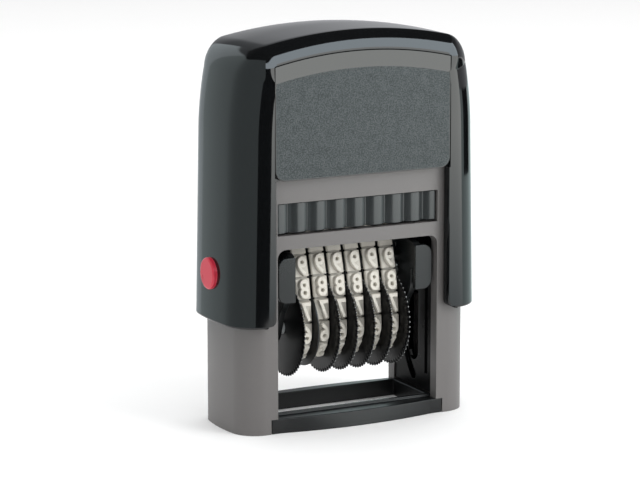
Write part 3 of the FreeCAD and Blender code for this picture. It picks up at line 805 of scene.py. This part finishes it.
def on_band(distance):
    """Place on the printing surface and its outward direction, a distance on from the platen."""
    closed = np.vstack([line, line[:1]])

    def spot(at):
        at = at % band_length
        return np.array([np.interp(at, along, closed[:, 0]), np.interp(at, along, closed[:, 1])])

    forward = spot(distance + 0.35) - spot(distance - 0.35)
    forward /= np.linalg.norm(forward)
    return spot(distance), np.array([forward[1], -forward[0]]), forward


front_side = [k for k in range(len(line)) if line[k][0] < 0 and line[k][1] > axle_z + 3]
first_groove = float(np.interp(-first_groove_z, [-line[k][1] for k in front_side],
                               [along[k] for k in front_side]))


def figure_mesh(character):
    """The flat outline of one figure as points, edges and faces, in millimetres about its middle."""
    lettering = bpy.data.curves.new("figure", "FONT")
    lettering.body = character
    lettering.resolution_u = 4
    lettering.offset = 0.03
    holder = bpy.data.objects.new("figure", lettering)
    bpy.context.collection.objects.link(holder)
    bpy.context.view_layer.update()
    flat = bpy.data.meshes.new_from_object(holder)
    bpy.data.objects.remove(holder)
    outline = bmesh.new()
    outline.from_mesh(flat)
    bpy.data.meshes.remove(flat)
    bmesh.ops.remove_doubles(outline, verts=outline.verts, dist=1e-4)
    spots = np.array([v.co for v in outline.verts])
    low, high = spots.min(0), spots.max(0)
    wide, tall = high[0] - low[0], high[1] - low[1]
    scale_y = figure_tall / tall if character.isdigit() else figure_tall / 0.7
    scale_x = figure_wide / wide if character in "023456789" else scale_y * 0.8
    for v in outline.verts:
        v.co.x = (v.co.x - (low[0] + high[0]) / 2) * scale_x
        v.co.y = (v.co.y - (low[1] + high[1]) / 2) * scale_y
        v.co.z = 0.0
    return outline


def raised(outline):
    """Stands the figure up: a flared foot, straight sides and an eased top edge."""
    away = {}
    for v in outline.verts:
        push = Vector((0, 0, 0))
        for edge in v.link_edges:
            if len(edge.link_faces) == 1:
                other = edge.other_vert(v)
                side = Vector((edge.verts[1].co.y - edge.verts[0].co.y,
                               edge.verts[0].co.x - edge.verts[1].co.x, 0)).normalized()
                centre = edge.link_faces[0].calc_center_median()
                if side.dot((v.co + other.co) / 2 - centre) < 0:
                    side = -side
                push += side
        if push.length > 1e-6:
            away[v.index] = push.normalized()
    foot_flare, foot_z = 0.16, -0.1
    foot = list(outline.verts)
    base_faces = list(outline.faces)
    levels = ((figure_height - 0.12, 0.0), (figure_height, -0.07))
    faces = base_faces
    for height, spread in levels:
        grown = bmesh.ops.extrude_face_region(outline, geom=faces, use_keep_orig=faces is base_faces)
        faces = [item for item in grown["geom"] if isinstance(item, bmesh.types.BMFace)]
        for item in grown["geom"]:
            if isinstance(item, bmesh.types.BMVert):
                item.co.z = height
        level = [item for item in grown["geom"] if isinstance(item, bmesh.types.BMVert)]
        if spread:
            for v in level:
                near = min(foot, key=lambda f: (f.co.x - v.co.x) ** 2 + (f.co.y - v.co.y) ** 2)
                if near.index in away:
                    v.co += away[near.index] * spread
    for v in foot:
        if v.index in away:
            v.co += away[v.index] * foot_flare
        v.co.z = foot_z
    bmesh.ops.recalc_face_normals(outline, faces=outline.faces)
    return outline


def close_round(solid, rings):
    """Faces between each ring of points and the next, and from the last back to the first."""
    for ring, following in zip(rings, rings[1:] + rings[:1]):
        for k in range(len(ring)):
            near = (k + 1) % len(ring)
            solid.faces.new((ring[k], ring[near], following[near], following[k]))
    bmesh.ops.recalc_face_normals(solid, faces=solid.faces)


figures = {}
for character in characters:
    flat = figure_mesh(character)
    flat.verts.index_update()
    figures[character] = raised(flat)
    figures[character].verts.index_update()

for number in range(1, 7):
    low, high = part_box(f"number_band_{number}")
    middle_x = (low.x + high.x) / 2 / mm
    slip = 0.12 * math.sin(number * 2.3)
    belt = bmesh.new()
    depth_layer = belt.verts.layers.float.new("depth")
    rings = []
    shares = (0.0, 0.03, 0.055, 0.1, 0.2, 0.35, 0.5, 0.65, 0.8, 0.9, 0.945, 0.97)
    for index in range(cells_on_band):
        for share in shares:
            groove = 1.0 if share in (0.0, 0.03, 0.97) else 0.0
            spot, out, forward = on_band(first_groove + slip + (index + share) * cell)
            half = band_half_width - 0.28 * groove
            top = figure_height + 0.32 * groove
            ring = []
            for x, deep in ((-half, band_thick), (-half, top + 0.2), (-half + 0.2, top), (0, top),
                            (half - 0.2, top), (half, top + 0.2), (half, band_thick)):
                y, z = spot - out * deep
                vertex = belt.verts.new(((middle_x + x) * mm, y * mm, z * mm))
                # painted shade between the figures, deeper in the grooves
                vertex[depth_layer] = between_figures + groove_shade * groove
                ring.append(vertex)
            rings.append(ring)
    close_round(belt, rings)
    for index in range(cells_on_band):
        character = (characters[1:] + "  " + characters[:1])[index % cells_on_band]
        if character == " ":
            continue
        spot, out, forward = on_band(first_groove + slip + (index + 0.5) * cell)
        origin = spot - out * figure_height
        copies = {}
        for v in figures[character].verts:
            y, z = origin - forward * v.co.y + out * v.co.z
            vertex = belt.verts.new(((middle_x - v.co.x) * mm, y * mm, z * mm))
            # painted shade on the figure's flanks, none on its top
            vertex[depth_layer] = top_unshaded if v.co.z > figure_height / 2 else figure_flank
            copies[v.index] = vertex
        for face in figures[character].faces:
            belt.faces.new([copies[v.index] for v in face.verts])
    polish(belt, sharp=35)
    built(f"band_{number}", belt, rubber, f"number_band_{number}")


# ---- Finger wheels ------------------------------------------------------------------------
# Six black mouldings free on the axle. Each has a drum inside its band and a thin disc beside
# it, whose rim has rounded teeth for the finger.
wheel_black = moulding("wheel_black_plastic", (0.004, 0.004, 0.0045), 0.3, specular=0.22)
wheel_tree = wheel_black.node_tree
wheel_colour = wheel_tree.nodes["Principled BSDF"].inputs["Base Color"]
# painted highlight: the tips of the teeth are painted pale grey, as if light glinted on them
bead_mark = wheel_tree.nodes.new("ShaderNodeAttribute")
bead_mark.attribute_name = "bead"
bead_tip = wheel_tree.nodes.new("ShaderNodeMapRange")
bead_tip.inputs["From Min"].default_value = 0.82
join(wheel_tree, bead_mark.outputs["Fac"], bead_tip.inputs["Value"])
painted_tip_highlight = painted_light_over(wheel_tree, bead_tip.outputs["Result"], wheel_colour.links[0].from_socket,
               (0.3, 0.31, 0.31))
join(wheel_tree, painted_tip_highlight, wheel_colour)
teeth = 60
per_tooth = 8
tooth_height = 0.85
bore, drum_reach = 1.62, 5.85
half_thick = 0.25
for number in range(1, 7):
    low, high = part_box(f"number_wheel_{number}")
    radius = high.z / mm - axle_z
    root = radius - tooth_height
    toward = -1 if number == 1 else 1
    disc_x = (low.x if number == 1 else high.x) / mm - toward * half_thick
    drum_end = (high.x if number == 1 else low.x) / mm
    # half the section as (x, distance from the axle, how much a tooth lifts it)
    drum_side, free_side = disc_x - toward * half_thick, disc_x + toward * half_thick
    profile = [(drum_end, bore, 0), (drum_end, drum_reach - 0.15, 0),
               (drum_end + toward * 0.15, drum_reach, 0), (drum_side, drum_reach, 0),
               (drum_side, 8.6, 0), (drum_side, root - 0.15, 0.0),
               (disc_x - toward * 0.22, root, 0.35), (disc_x - toward * 0.12, root, 0.95),
               (disc_x, root, 1.0),
               (disc_x + toward * 0.12, root, 0.95), (disc_x + toward * 0.22, root, 0.35),
               (free_side, root - 0.15, 0.0), (free_side, 7.5, 0), (free_side, 3.0, 0),
               (free_side, bore, 0)]
    turning = bmesh.new()
    bead_layer = turning.verts.layers.float.new("bead")
    rings = []
    for step in range(teeth * per_tooth):
        angle = 2 * math.pi * step / (teeth * per_tooth)
        bead = abs(math.sin(angle * teeth / 2)) ** 0.8
        ring = []
        for x, reach, share in profile:
            r = reach + tooth_height * bead * share
            y, z = r * math.sin(angle), axle_z + r * math.cos(angle)
            vertex = turning.verts.new((x * mm, y * mm, z * mm))
            vertex[bead_layer] = bead * share
            ring.append(vertex)
        rings.append(ring)
    close_round(turning, rings)
    polish(turning, sharp=38)
    built(f"wheel_{number}", turning, wheel_black, f"number_wheel_{number}")
